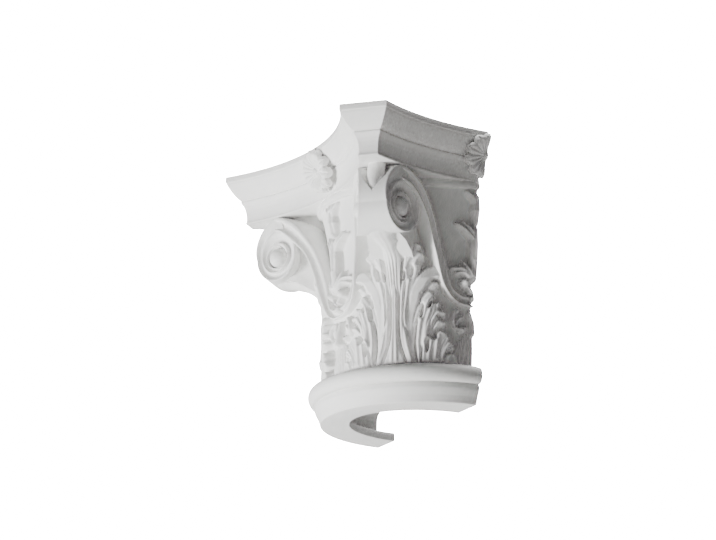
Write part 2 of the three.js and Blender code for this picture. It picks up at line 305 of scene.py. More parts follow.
def evaluated_mesh(name, tree, start_mesh, inputs):
    """Runs a node tree on a mesh and returns the result as a plain mesh."""
    carrier = bpy.data.objects.new(name + "_source", start_mesh)
    bpy.context.scene.collection.objects.link(carrier)
    modifier = carrier.modifiers.new(name, "NODES")
    modifier.node_group = tree
    for socket in tree.interface.items_tree:
        if socket.in_out == "INPUT" and socket.name in inputs:
            modifier[socket.identifier] = inputs[socket.name]
    evaluated = carrier.evaluated_get(bpy.context.evaluated_depsgraph_get())
    mesh = bpy.data.meshes.new_from_object(evaluated)
    bpy.data.objects.remove(carrier)
    return mesh


def points_and_faces(mesh):
    """A mesh's points in millimetres as it stands, and its faces as lists."""
    flat = np.empty(len(mesh.vertices) * 3)
    mesh.vertices.foreach_get("co", flat)
    return flat.reshape(-1, 3) * 1000, [list(face.vertices) for face in mesh.polygons]


outline = shell_outline()
outline_mesh = bpy.data.meshes.new("shell_outline")
outline_mesh.from_pydata(
    [((r - GUIDE_RADIUS) / 1000, -z / 1000, 0) for r, z in outline],
    [(i, (i + 1) % len(outline)) for i in range(len(outline))], [],
)
swept = evaluated_mesh("shell", half_turn_tree(), outline_mesh, {
    "Segments": SWEEP_SEGMENTS, "Guide Radius": GUIDE_RADIUS / 1000, "Material": FOAM,
})
shell_points, shell_faces = points_and_faces(swept)
# The mouth is a little oval, narrower from side to side
from_axis = np.hypot(shell_points[:, 0], shell_points[:, 1])
in_mouth = (from_axis < MOUTH_RADIUS + 5) & (shell_points[:, 2] < WALL + 3)
shell_points[in_mouth] *= MOUTH_OVAL
shell = mesh_piece("shell", shell_points, shell_faces)
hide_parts("half_capital")


# ----------------------------------------
# Abacus: the slab on top, with four hollowed sides and cut-off horns, of which the front two
# remain. Fascia, ovolo, quirk and cavetto run round it; it is closed on top and hollow below.
# ----------------------------------------
HALF_WIDTH = (cad_high.x - cad_low.x) / 2 * 1000
HEIGHT = (cad_high.z - cad_low.z) * 1000
HORN_WIDTH = 63.4
HORN_REACH = HALF_WIDTH * math.sqrt(2) - HORN_WIDTH / 2
FACE_MIDDLE = 170.0
SLAB = 12.0
TOP_HOLLOW_RADIUS = 118.0
TOP_HOLLOW_FOOT = 115.6
SIDE_STEPS = 50
HORN_STEPS = 8
# Each side is an arc that bows in from the horns to the middle of the face
bow = HALF_WIDTH - FACE_MIDDLE
half_chord = HALF_WIDTH - HORN_WIDTH / math.sqrt(2)
PLAN_RADIUS = (half_chord ** 2 + bow ** 2) / (2 * bow)
PLAN_CENTRE = FACE_MIDDLE + PLAN_RADIUS
# [inward offset, height] from the underside up
ABACUS_PROFILE = rounded([
    (26, ABACUS_BOTTOM), (24.2, 298), (24.0, 300.2), (25.0, 301.6), (24.9, 306), (24.5, 311), (23.4, 317),
    (21.6, 321.8), (19.6, 325), (17.9, 327.4), (17.9, 328.8), (18.9, 329.4), (18.9, 330.6), (16.6, 331.2),
    (13.8, 333.4), (10.4, 337.2), (7.1, 341.8), (3.9, 346.8), (1.6, 351), (1.0, 353.2), (0, 354),
    (0, HEIGHT), (4, HEIGHT),
], 0.7, 3)


def grid_faces(rows, columns, wrap_rows=False, wrap_columns=False, first=0):
    """Quads over a grid of points stored row by row."""
    row = np.arange(rows if wrap_rows else rows - 1)
    column = np.arange(columns if wrap_columns else columns - 1)
    r, c = np.meshgrid(row, column, indexing="ij")
    r, c = r.ravel(), c.ravel()
    r2, c2 = (r + 1) % rows, (c + 1) % columns
    return np.stack([r * columns + c, r * columns + c2, r2 * columns + c2, r2 * columns + c], 1) + first


def abacus_plan(inset):
    """Plan outline of the half abacus at an inward offset, from the back right to the back left."""
    radius = PLAN_RADIUS + inset
    reach = HORN_REACH - inset
    span = math.pi / 4 + math.asin((math.sqrt(2) * reach - PLAN_CENTRE) / (math.sqrt(2) * radius))
    side = np.array([
        (PLAN_CENTRE - radius * math.cos(a), -radius * math.sin(a))
        for a in np.linspace(0, span, SIDE_STEPS)
    ])
    front = np.array([
        (radius * math.sin(a), radius * math.cos(a) - PLAN_CENTRE)
        for a in np.linspace(span, 0, SIDE_STEPS)
    ])
    horn = np.linspace(side[-1], front[0], HORN_STEPS)[1:-1]
    right = np.vstack([side, horn, front])
    return np.vstack([right, (right * (-1, 1))[-2::-1]])


def abacus_piece():
    """Loops up the profile, over the top to the middle, and down the hollow, closed at the saw cut."""
    heading = [math.atan2(x, -y) for x, y in abacus_plan(0)]
    around = np.array([(math.sin(a), -math.cos(a)) for a in heading])
    around[0], around[-1] = (1, 0), (-1, 0)
    loops = [np.insert(abacus_plan(inset), 2, height, axis=1) for inset, height in ABACUS_PROFILE]
    slab_bottom = HEIGHT - SLAB
    for radius, height in (
        (TOP_HOLLOW_RADIUS, HEIGHT), (0, HEIGHT), (0, slab_bottom), (TOP_HOLLOW_RADIUS, slab_bottom),
        (TOP_HOLLOW_FOOT, ABACUS_BOTTOM),
    ):
        loops.append(np.insert(around * radius, 2, height, axis=1))
    count = len(around)
    faces = grid_faces(len(loops), count, wrap_rows=True).tolist()
    faces.append([row * count for row in range(len(loops))][::-1])
    faces.append([row * count + count - 1 for row in range(len(loops))])
    return mesh_piece("abacus", np.vstack(loops), faces, sharp_degrees=30)


abacus_piece()


# ----------------------------------------
# Carved bell: the acanthus leaf on each diagonal and the flower stem in the middle of each face,
# carved on the bell as one sheet of relief for each half. One half leaf and half stem are worked
# out on the unrolled bell, then repeated in mirror image along it.
# ----------------------------------------
UNROLL_RADIUS = 130.0
HALF_LEAF = UNROLL_RADIUS * math.pi / 4
SHEET_FOOT = 52.0
LEAF_COLUMNS = 129
LEAF_ROWS = 300
COLUMNS_BEHIND = 16
# How far the sheet reaches into the bell, and its least height over it
SHEET_SINK = 3.0
SKIN = 0.7
# Carved pieces end a little short of the shell's cut face, so that no two faces lie in one plane
SAW_GAP = 0.3
# Places on the unrolled bell: distance from the leaf's middle, height, distance from the face's middle
across = np.linspace(0, HALF_LEAF, LEAF_COLUMNS)[None, :].repeat(LEAF_ROWS, 0)
up = np.linspace(SHEET_FOOT, ABACUS_BOTTOM, LEAF_ROWS)[:, None].repeat(LEAF_COLUMNS, 1)
off_middle = HALF_LEAF - across


def smooth(low, high, value):
    """Rises softly from 0 at low to 1 at high."""
    t = np.clip((value - low) / (high - low), 0, 1)
    return t * t * (3 - 2 * t)


def fair(points, count):
    """A smooth curve through points, resampled to count points by even parameter."""
    points = np.asarray(points, float)
    padded = np.vstack([2 * points[0] - points[1], points, 2 * points[-1] - points[-2]])
    t = np.linspace(0, len(points) - 1, count)
    i = np.minimum(t.astype(int), len(points) - 2)
    k = (t - i)[:, None]
    p0, p1, p2, p3 = padded[i], padded[i + 1], padded[i + 2], padded[i + 3]
    return 0.5 * (
        2 * p1 + (p2 - p0) * k + (2 * p0 - 5 * p1 + 4 * p2 - p3) * k ** 2
        + (3 * p1 - 3 * p2 + p3 - p0) * k ** 3
    )


def line_distance(line, a, z):
    """Distance of every place from a line, and how far along the line its nearest point lies."""
    line = np.asarray(line, float)
    lengths = np.linalg.norm(np.diff(line, axis=0), axis=1)
    starts = np.insert(np.cumsum(lengths), 0, 0)
    best = np.full(a.shape, 1e9)
    along = np.zeros(a.shape)
    for (x0, z0), (x1, z1), length, start in zip(line, line[1:], lengths, starts):
        t = np.clip(((a - x0) * (x1 - x0) + (z - z0) * (z1 - z0)) / length ** 2, 0, 1)
        distance = np.hypot(a - x0 - t * (x1 - x0), z - z0 - t * (z1 - z0))
        nearer = distance < best
        best = np.where(nearer, distance, best)
        along = np.where(nearer, (start + t * length) / starts[-1], along)
    return best, along


def depth_inside(outline):
    """Distance inside a closed outline, negative outside it."""
    loop = fair(list(outline) + [outline[0]], len(outline) * 4)
    distance, _ = line_distance(loop, across, up)
    inside = np.zeros(across.shape, bool)
    for (x0, z0), (x1, z1) in zip(loop, loop[1:]):
        if z0 != z1:
            crossing = (x1 - x0) * (up - z0) / (z1 - z0) + x0
            inside ^= ((z0 > up) != (z1 > up)) & (across < crossing)
    return np.where(inside, distance, -distance)


def dome(depth, edge):
    """Rises from 0 at the edge to 1 at that depth inside it, as a quarter round."""
    t = np.clip(depth / edge, 0, 1)
    return np.sqrt(1 - (1 - t) ** 2)


def lobe(outline, top, edge):
    """A raised shape with a steep foot and a rounded edge of that width."""
    depth = depth_inside(outline)
    return np.where(depth > 0, top * (0.35 * smooth(0, 1.2, depth) + 0.65 * dome(depth, edge)), 0)


def stroke(line, widths, tops):
    """A rounded bar on the face, with half width and height that change evenly along its line."""
    distance, along = line_distance(fair(line, len(line) * 5), off_middle, up)
    width = np.interp(along, np.linspace(0, 1, len(widths)), widths)
    top = np.interp(along, np.linspace(0, 1, len(tops)), tops)
    return np.where(distance < width, top * dome(width - distance, width), 0)


def vein(height, line, half_width, rise):
    """Adds a ridge where the relief already stands up, or cuts a groove if rise is negative."""
    distance, along = line_distance(fair(line, len(line) * 5), across, up)
    fade = smooth(0, 0.06, along) * smooth(1, 0.9, along) * 0.7 + 0.3
    shape = np.exp(-(distance / half_width) ** 2)
    return height + rise * fade * shape * smooth(2, 7, height)


def drill(height, centre, reach, floor, lean=0):
    """Sinks a deep oval hole with steep sides."""
    da, dz = across - centre[0], up - centre[1]
    turn = math.radians(lean)
    u = (da * math.cos(turn) - dz * math.sin(turn)) / reach[0]
    v = (da * math.sin(turn) + dz * math.cos(turn)) / reach[1]
    hole = smooth(1.35, 0.75, np.hypot(u, v))
    return height + hole * (np.minimum(height, floor) - height)


# Leaf: closed outlines in layers, from the back of the relief to the front
STEM = [
    (26, 53), (21, 75), (17, 102), (16.5, 129), (19, 148), (25, 162), (32, 173), (41, 180.5), (50, 181),
    (56, 175), (55, 166), (48, 165), (43, 161), (38, 152), (32, 138), (27, 122), (24, 102), (25, 75),
    (29, 53),
]
CENTRE_BUNDLE = [
    (-14, 50), (-10, 68), (-6, 82), (-4.2, 102), (-4.2, 136), (-4.2, 163), (-5, 195),
    (5, 195), (4.2, 163), (4.2, 136), (4.2, 102), (6, 82), (10, 68), (14, 50),
]
MIDDLE_BUNDLE = [
    (17, 50), (12.5, 68), (8.5, 82), (6.2, 102), (6.2, 136), (6.8, 168), (14, 172), (18, 156),
    (15.5, 138), (15.5, 118), (16, 100), (20, 75), (25, 50),
]
TOP_LOBE = [
    (7, 136), (9, 170), (12, 196), (14, 209), (22, 212), (30, 211), (33, 206), (30, 202), (36, 197),
    (36, 191), (31, 186), (32, 178), (30, 167), (26, 155), (21, 135),
]
SMALL_LOBE = [(41, 150), (43, 159), (49, 163), (54, 161), (55, 157), (50, 153)]
SIDE_LOBE = [
    (27, 95), (28, 119), (31, 132), (36, 142), (42, 148), (48, 146), (50, 140), (48, 134), (52, 133),
    (56, 136), (58, 132), (56, 126), (57, 123), (62, 123), (65, 119), (61, 114), (56, 112), (63, 110),
    (65, 105), (61, 101), (54, 98), (49, 95), (43, 87), (37, 75), (30, 50), (26, 75),
]
FOOT_LOBE = [
    (33, 48), (34, 75), (38, 87), (44, 89), (51, 86), (52, 93), (57, 97), (65, 93), (69, 88), (69, 83),
    (74, 79), (76, 72), (70, 69), (66, 66), (74, 67), (78, 61), (77, 48),
]
LEAF_BODY = [
    (-20, 48), (-8, 140), (-6, 200), (12, 207), (22, 211), (30, 209), (33, 200), (34, 190), (31, 180),
    (34, 172), (43, 177), (50, 172), (46, 164), (53, 160), (52, 150), (46, 146), (51, 134), (57, 128),
    (63, 119), (60, 112), (64, 104), (58, 98), (66, 92), (70, 84), (75, 76), (72, 67), (77, 61),
    (78, 48),
]
stem_top = np.interp(up, [53, 120, 165, 180], [13, 14, 17, 13])
top_curl = np.interp(up, [136, 165, 190, 212], [14, 17.5, 23, 24])
leaf_top = np.interp(across, [16, 34], [14.5, 10])
height = np.zeros(across.shape)
for leaf_outline, top, edge in (
    (STEM, stem_top, 2.6), (LEAF_BODY, leaf_top, 3), (CENTRE_BUNDLE, 17.0, 3), (MIDDLE_BUNDLE, 16.0, 3.5),
    (TOP_LOBE, top_curl, 4.5), (SMALL_LOBE, 13.0, 4), (SIDE_LOBE, 15.5, 4.5), (FOOT_LOBE, 15.5, 4.5),
):
    height = np.maximum(height, lobe(leaf_outline, top, edge))

# Lines of the raised veins
LEAF_VEINS = [
    [(-3, 53), (-2, 82), (-3, 109), (-3, 136), (-2, 163)],
    [(3, 52), (2.5, 82), (2.5, 109), (2, 136), (1, 163)],
    [(19, 53), (13, 68), (9, 84), (8, 109), (9, 135), (11, 156), (13, 176), (17, 194), (22, 203)],
    [(23, 53), (18, 68), (14, 88), (13, 115), (15, 142), (18, 160), (24, 180), (30, 190)],
    [(25, 101), (28, 119), (31, 131), (36, 142), (42, 147), (48, 144)],
    [(31, 53), (29, 81), (31, 102), (35, 118), (41, 134), (46, 141)],
    [(35, 75), (38, 102), (43, 121), (46, 134)],
    [(37, 75), (40, 98), (47, 115), (51, 127), (56, 134)],
    [(39, 84), (44, 103), (51, 116), (57, 121), (62, 121)],
    [(40, 82), (46, 94), (53, 104), (61, 107)], [(34, 54), (36, 68), (37, 82), (42, 88), (49, 87)],
    [(50, 54), (52, 75), (54, 91), (58, 94), (65, 92)], [(53, 54), (57, 69), (62, 81), (68, 87)],
    [(58, 54), (62, 69), (69, 79), (74, 76)], [(64, 53), (67, 60), (72, 65), (76, 61)],
    [(42, 54), (43, 68), (44, 80), (48, 84)],
    [(12, 165), (18, 186), (26, 200), (31, 206)], [(9, 180), (13, 198), (18, 209)],
]
VEIN_HALF_WIDTH = 1.7
VEIN_RISE = 2.1
for line in LEAF_VEINS:
    height = vein(height, line, VEIN_HALF_WIDTH, VEIN_RISE)
# Grooves: line, half width, rise
LEAF_GROOVES = [
    ([(15, 53), (11, 68), (7.2, 82), (5.2, 102), (5.2, 136), (5.4, 163), (6, 187)], 1.1, -4.5),
    ([(28, 53), (25, 75), (26, 95), (28, 111)], 1.1, -5.0), ([(30, 130), (33, 146), (40, 151)], 1.0, -4.0),
    ([(16, 88), (11, 112), (12, 140), (14, 160)], 1.0, -3.0),
    ([(41, 86), (44, 106), (49, 119), (52, 131)], 0.9, -3.0), ([(46, 95), (53, 110), (60, 117)], 0.9, -3.0),
    ([(55, 60), (59, 75), (65, 86)], 0.9, -3.0), ([(60, 58), (66, 72), (72, 77)], 0.9, -3.0),
]
for line, half_width, rise in LEAF_GROOVES:
    height = vein(height, line, half_width, rise)
# Drilled eyes where the lobes part: centre, half width and half height, lean in degrees, floor
LEAF_EYES = [
    ((21, 172), (2.6, 8), 12, 12), ((33.5, 122), (2.4, 9), 8, 5), ((40.5, 76), (2.4, 8), 4, 5),
    ((44, 131), (1.6, 5), 14, 6), ((51, 139), (2.4, 3), 0, 3), ((50, 91), (1.6, 4.5), 10, 5),
    ((12.5, 168), (1.3, 6), 8, 10), ((57, 115), (4, 1.2), 0, 5), ((71, 67.5), (3.5, 1.2), 0, 5),
    ((33, 200), (3, 1.3), 0, 9),
]
for centre, reach, lean, floor in LEAF_EYES:
    height = drill(height, centre, reach, floor, lean)

# Stem and flower in the middle of the face: line by distance from the middle, half widths, heights
FACE_STROKES = [
    # Leaves at the foot
    ([(0, 48), (0, 99)], (3.6, 3.4, 2.4), (5, 6, 5)),
    ([(6.5, 48), (5.5, 80), (4, 97)], (3.6, 3.2, 2), (5, 6, 4)),
    ([(13, 48), (11, 76), (8, 95)], (3.4, 3, 2), (4.5, 5.5, 4)),
    ([(19.5, 48), (17, 72), (13, 92)], (3.4, 3, 2), (4, 5, 4)),
    ([(26, 48), (23, 68), (18, 87)], (3.4, 3, 2), (3, 4, 3)),
    # Curls below the scrolls
    ([(20, 128), (26, 122), (28, 112), (24, 103)], (2.4, 3.4, 3.2, 1.6), (7, 10, 10, 5)),
    ([(23, 104), (15, 101), (9, 105)], (2, 3.4, 2), (6, 10, 6)),
    ([(13, 120), (19, 116), (22, 110)], (1.6, 2.6, 1.4), (5, 8, 5)),
    ([(0, 96), (2, 112), (5, 124)], (4.5, 3.5, 3), (12, 11, 9)),
    # Cup of leaves on the scrolls
    ([(2, 142), (4, 152), (9, 158)], (3.5, 3.5, 3), (11, 12, 11)),
    ([(6, 168), (14, 176), (24, 176)], (4, 4, 2), (14, 14, 9)),
    ([(5, 170), (16, 181), (30, 182)], (4, 4, 2), (15, 13, 8)),
    ([(4, 172), (10, 182), (15, 191)], (4, 3.6, 2), (16, 14, 10)),
    ([(2, 172), (4, 184), (5, 193)], (4, 3.4, 2), (16, 14, 11)),
    # Stalk, its upper leaves and the bud
    ([(0, 168), (0, 196), (0, 212), (0, 236)], (4, 7.5, 8.5, 4), (14, 16, 16, 12)),
    ([(3, 222), (14, 234), (26, 242)], (3, 3.2, 1.4), (13, 11, 8)),
    ([(2, 228), (10, 238), (18, 245)], (3, 3, 1.4), (13, 11, 8)),
    ([(2, 226), (8, 232), (15, 232)], (3, 2.8, 1.6), (12, 10, 7)),
    ([(0, 243), (0, 260), (0, 277)], (5, 8.5, 4), (12, 14, 9)),
    ([(1, 266), (6, 276), (14, 284)], (3, 3.6, 2.4), (9, 10, 6)),
    ([(0, 268), (2, 276), (4, 285)], (3, 3.4, 2.2), (9, 10, 6)),
]
BERRY = (13, 163)
BERRY_RADIUS = 6.6
BERRY_HEIGHT = 16
# Drilled eyes between them: centre, half width and half height
FACE_EYES = [
    ((22, 160), (3, 4)), ((9, 215), (1.6, 9)), ((11, 245), (2.4, 4)), ((13, 262), (3, 6)),
    ((4, 148), (2, 2)),
]
FACE_EYE_FLOOR = 1.0
# Grooves that part the stalk and the bud into petals
BUD_GROOVES = [[(2.6, 196), (3.4, 212), (2, 232)], [(3, 246), (3.6, 260), (1.5, 276)]]
BUD_GROOVE_DEPTH = 2.6
BUD_GROOVE_HALF_WIDTH = 0.9
for line, widths, tops in FACE_STROKES:
    height = np.maximum(height, stroke(line, widths, tops))
berry_depth = BERRY_RADIUS - np.hypot(off_middle - BERRY[0], up - BERRY[1])
height = np.maximum(height, BERRY_HEIGHT * dome(berry_depth, BERRY_RADIUS))
for centre, reach in FACE_EYES:
    height = drill(height, (HALF_LEAF - centre[0], centre[1]), reach, FACE_EYE_FLOOR)
for line in BUD_GROOVES:
    distance, _ = line_distance(fair(line, 12), off_middle, up)
    groove = np.exp(-(distance / BUD_GROOVE_HALF_WIDTH) ** 2)
    height = height - BUD_GROOVE_DEPTH * groove * smooth(2, 6, height)

# Edges softened as by a mould and a coat of primer
SOFTENING_PASSES = 2
for _ in range(SOFTENING_PASSES):
    padded = np.pad(height, 1, mode="edge")
    beside = padded[2:, 1:-1] + padded[:-2, 1:-1] + padded[1:-1, 2:] + padded[1:-1, :-2]
    height = 0.5 * height + 0.125 * beside
height = np.maximum(height, 0) + SKIN


def carved_sheet(name, side):
    """One half of the bell's carving: half a stem, a whole leaf, and half a stem to the saw cut."""
    relief = np.concatenate([height[:, ::-1], height[:, 1:]], axis=1)
    columns = relief.shape[1]
    angle = np.linspace(0, 2 * HALF_LEAF - SAW_GAP, columns)[None, :] / UNROLL_RADIUS
    rows = np.linspace(SHEET_FOOT, ABACUS_BOTTOM, LEAF_ROWS)[:, None]

    def on_bell(radius, heading):
        return np.stack(np.broadcast_arrays(
            side * radius * np.sin(heading), -radius * np.cos(heading), rows + 0 * heading
        ), axis=2)

    plain = bell_radius(rows)
    skin = on_bell(plain + relief, angle)
    # A coarse inner face, sunk in the bell, closes the sheet
    picked = np.arange(0, columns, (columns - 1) // COLUMNS_BEHIND)
    behind = on_bell(plain - SHEET_SINK, angle[:, picked])
    first = LEAF_ROWS * columns
    width = len(picked)
    faces = grid_faces(LEAF_ROWS, columns).tolist()
    faces += grid_faces(LEAF_ROWS, width, first=first)[:, ::-1].tolist()
    for row in range(LEAF_ROWS - 1):
        left, left_behind = row * columns, first + row * width
        faces.append([left + columns, left_behind + width, left_behind, left])
        right, right_behind = left + columns - 1, left_behind + width - 1
        faces.append([right, right_behind, right_behind + width, right + columns])
    for row, turn in ((0, 1), (LEAF_ROWS - 1, -1)):
        for k in range(width - 1):
            edge = [row * columns + c for c in range(picked[k], picked[k + 1] + 1)][::-1]
            back = [first + row * width + k, first + row * width + k + 1]
            faces.append((edge + back)[::turn])
    return mesh_piece(name, np.vstack([skin.reshape(-1, 3), behind.reshape(-1, 3)]), faces, 60)


carved_sheet("carved_bell_right", 1)
carved_sheet("carved_bell_left", -1)


# ----------------------------------------
# Leaf tips: the top of each acanthus leaf leaves the bell and curls out under the volutes. A rib
# runs down its middle, and its edges are scalloped and droop.
# ----------------------------------------
def diagonal_points(out, over, height):
    """Points by distance out along the right diagonal, distance across it, and height."""
    return np.stack([(out + over) / math.sqrt(2), (over - out) / math.sqrt(2), height + 0 * out], axis=-1)


def closed_tube(rows):
    """Faces of a run of closed sections, with both ends closed."""
    count, around = rows.shape[:2]
    faces = grid_faces(count, around, wrap_columns=True).tolist()
    return faces + [list(range(around))[::-1], [(count - 1) * around + k for k in range(around)]]


def mirror_corner(points):
    """The same piece at the left corner."""
    return points * (-1, 1, 1)


# [distance out, height] from the bell to the curled end
TIP_PATH = [
    (136, 138), (142, 152), (146, 165), (149.5, 177), (154, 187), (162, 194), (172, 198.5), (182, 201.5),
    (191, 203.5), (199, 205), (206, 207), (211, 210), (212, 214), (209, 217.5),
]
TIP_HALF_WIDTH = [8, 8, 8.5, 9.5, 11, 12.5, 14.5, 16.5, 18.5, 20.5, 22.5, 23, 22, 19]
TIP_THICKNESS = 9.0
TIP_DROOP = 5.5
# [height, place, width] of the ribs and grooves, as shares of the half width
TIP_RIBS = [(1.2, 0, 0.08), (0.8, 0.42, 0.1), (-1.0, 0.2, 0.07), (-0.9, 0.66, 0.06)]
SCALLOPS = 5.2
SCALLOP_DEPTH = 0.16
TIP_STATIONS = 110
TIP_COLUMNS = 61


def leaf_tip():
    path = fair(TIP_PATH, TIP_STATIONS)
    stations = np.linspace(0, 1, TIP_STATIONS)
    half = np.interp(stations, np.linspace(0, 1, len(TIP_HALF_WIDTH)), TIP_HALF_WIDTH)
    along = np.gradient(path, axis=0)
    along /= np.linalg.norm(along, axis=1)[:, None]
    outward = np.stack([along[:, 1], -along[:, 0]], axis=1)
    t = stations[:, None]
    w = np.linspace(-1, 1, TIP_COLUMNS)[None, :]
    off = np.abs(w)
    scallop = np.abs(np.sin(np.pi * SCALLOPS * t ** 0.8)) ** 0.6 * smooth(0.25, 0.45, t)
    over = w * half[:, None] * (1 - SCALLOP_DEPTH * scallop)
    ribs = sum(rise * np.exp(-((off - place) / wide) ** 2) for rise, place, wide in TIP_RIBS)
    ribs = ribs * (1 - 0.85 * smooth(0.1, 0.45, t)) * smooth(0, 0.1, 1 - off)
    front = ribs - TIP_DROOP * off ** 2.2 * smooth(0.1, 0.5, t)
    thick = TIP_THICKNESS * np.sqrt(np.clip(1 - off ** 6, 0, 1)) * (1 - 0.5 * smooth(0.8, 1, t))
    faces = []
    for lift in (front, front - thick):
        out = path[:, 0:1] + outward[:, 0:1] * lift
        z = path[:, 1:2] + outward[:, 1:2] * lift
        faces.append(diagonal_points(out, over, z))
    return np.concatenate([faces[0], faces[1][:, -2:0:-1]], axis=1)


tip = leaf_tip()
tip_faces = closed_tube(tip)
mesh_piece("leaf_tip_right", tip, tip_faces, 60)
mesh_piece("leaf_tip_left", mirror_corner(tip), tip_faces, 60)


# ----------------------------------------
# Scrolls: two bands rise from the middle of each face and run up and out to the volutes. Each has
# a raised fillet along both edges and a hollow channel between them.
# ----------------------------------------
# Edges of the right face's band: [place along the face, height, reach out from the axis]
SCROLL_UPPER = [
    (0, 146, 131), (-13.5, 147, 131), (-22.6, 150, 131), (-28.6, 155, 131), (-33, 163, 130.5),
    (-36.5, 177, 130), (-40, 190, 130.5), (-45, 204, 131.5), (-50, 218, 133.5), (-56, 232, 137),
    (-62, 245, 141), (-68, 255, 145), (-75, 265, 149.5), (-82, 275, 153.5), (-91, 284, 158),
    (-103, 291.5, 163), (-115, 296.5, 166), (-127, 299, 168),
]
SCROLL_LOWER = [
    (0, 133, 131), (-10.6, 133.3, 131), (-22.7, 136, 131), (-31.7, 141.5, 131.5), (-39, 149, 132),
    (-45, 158, 133), (-49.6, 168, 134.5), (-54, 180, 136.5), (-58.5, 194, 138), (-63.5, 208, 139.5),
    (-69, 223, 142.5), (-75.5, 237, 147), (-83, 247, 152), (-91, 256, 157), (-100, 265, 161.5),
    (-110, 273, 165), (-124, 278.5, 168),
]
# [share of the width from the lower edge, rise above the edges' reach]
SCROLL_SECTION = [
    (0, -6), (0, -2.2), (0.02, -0.8), (0.05, 0), (0.1, 0.3), (0.15, 0), (0.18, -0.9), (0.2, -2.4),
    (0.24, -4), (0.32, -5.4), (0.45, -6), (0.57, -5.4), (0.66, -4), (0.71, -2.4), (0.73, -0.9),
    (0.76, 0), (0.84, 0.3), (0.93, 0), (0.98, -0.9), (1, -2.4), (1, -6),
]
SCROLL_STATIONS = 150
# The band's back lies inside the bell, or this far behind its front where it stands free
SCROLL_ROOT = 118.0
SCROLL_DEPTH = 42
BACK_STEP = 5


def evenly(points, count):
    """A smooth curve through points, resampled at equal steps."""
    dense = fair(points, len(points) * 12)
    run = np.insert(np.cumsum(np.linalg.norm(np.diff(dense, axis=0), axis=1)), 0, 0)
    even = np.linspace(0, run[-1], count)
    return np.stack([np.interp(even, run, dense[:, k]) for k in range(dense.shape[1])], axis=1)


def scroll_band():
    """The right face's band, from the saw cut to the volute."""
    low, high = evenly(SCROLL_LOWER, SCROLL_STATIONS), evenly(SCROLL_UPPER, SCROLL_STATIONS)
    share = np.array([k for k, _ in SCROLL_SECTION])[None, :]
    rise = np.array([h for _, h in SCROLL_SECTION])[None, :]
    place, z, reach = [low[:, k:k + 1] * (1 - share) + high[:, k:k + 1] * share for k in range(3)]
    front = np.stack([reach + rise, np.minimum(place, -SAW_GAP), z], axis=2)
    root = np.sqrt(np.clip(SCROLL_ROOT ** 2 - place ** 2, 1, None))
    back_reach = np.maximum(root, reach - SCROLL_DEPTH)
    back = np.stack([back_reach, np.minimum(place, -SAW_GAP), z], axis=2)[:, ::-1]
    return np.concatenate([front, back[:, ::BACK_STEP]], axis=1)


band = scroll_band()
band_faces = closed_tube(band)
front_band = band[:, :, [1, 0, 2]] * (-1, -1, 1)
mesh_piece("scroll_right_side", band, band_faces, 50)
mesh_piece("scroll_right_front", front_band, band_faces, 50)
mesh_piece("scroll_left_front", mirror_corner(front_band), band_faces, 50)
mesh_piece("scroll_left_side", mirror_corner(band), band_faces, 50)


# ----------------------------------------
# Volutes: a pair of spirals under each horn of the abacus, joined edge to edge by a smooth front
# band. A broad band with a shallow trough winds in to a ring, with a ball in its sunk middle.
# ----------------------------------------
VOLUTE_OUT = 204.5
VOLUTE_HALF_WIDTH = 31.0
VOLUTE_HEIGHT = 242.0
VOLUTE_SPLAY = math.radians(21)
# Outer edge of the band by turns from the top, and the depth of the trough inside it
SPIRAL_EDGE = np.array([
    (0, 57), (0.06, 51), (0.125, 44.5), (0.19, 39), (0.25, 34), (0.35, 33), (0.5, 33), (0.75, 33.5),
    (0.9, 35.5), (1.0, 36), (1.1, 31), (1.2, 26.5), (1.32, 23), (1.5, 21.5), (1.75, 20.6), (2.0, 20),
    (2.2, 16.5), (3.0, 15.5),
])
SPIRAL_TROUGH = np.array([(0, 0), (0.12, 4.5), (1.0, 5), (1.6, 5), (2.0, 0), (3.0, 0)])
# Inset from the rim and stand of the rows that round the rim off
RIM_ROWS = [(0.2, -0.5), (0, -1.6)]
RIM_INSET = 0.6
EYE_WALL = 15.5
EYE_WALL_WIDTH = 1.6
EYE_DEPTH = 9.0
EYE_RADIUS = 13.4
EYE_STAND = 5.0
VOLUTE_ANGLES = 220
VOLUTE_RINGS = 66
# V under the horn: the height of its foot, its half width by height, its depth and how it deepens
GAP_FOOT = 256.0
GAP_SLOPE = 0.72
GAP_DEPTH = 10
GAP_RAMP = 22
# Rows of the front band from a rim to the V, and down the V's side: share across, share of depth
BAND_ROWS = [
    (0.85, 0), (0.7, 0), (0.5, 0), (0.3, 0), (0.14, 0), (0.05, 0), (0, 0.06), (0, 0.5), (0, 1),
]


def along_spiral(table, turn):
    return np.interp(turn, table[:, 0], table[:, 1])


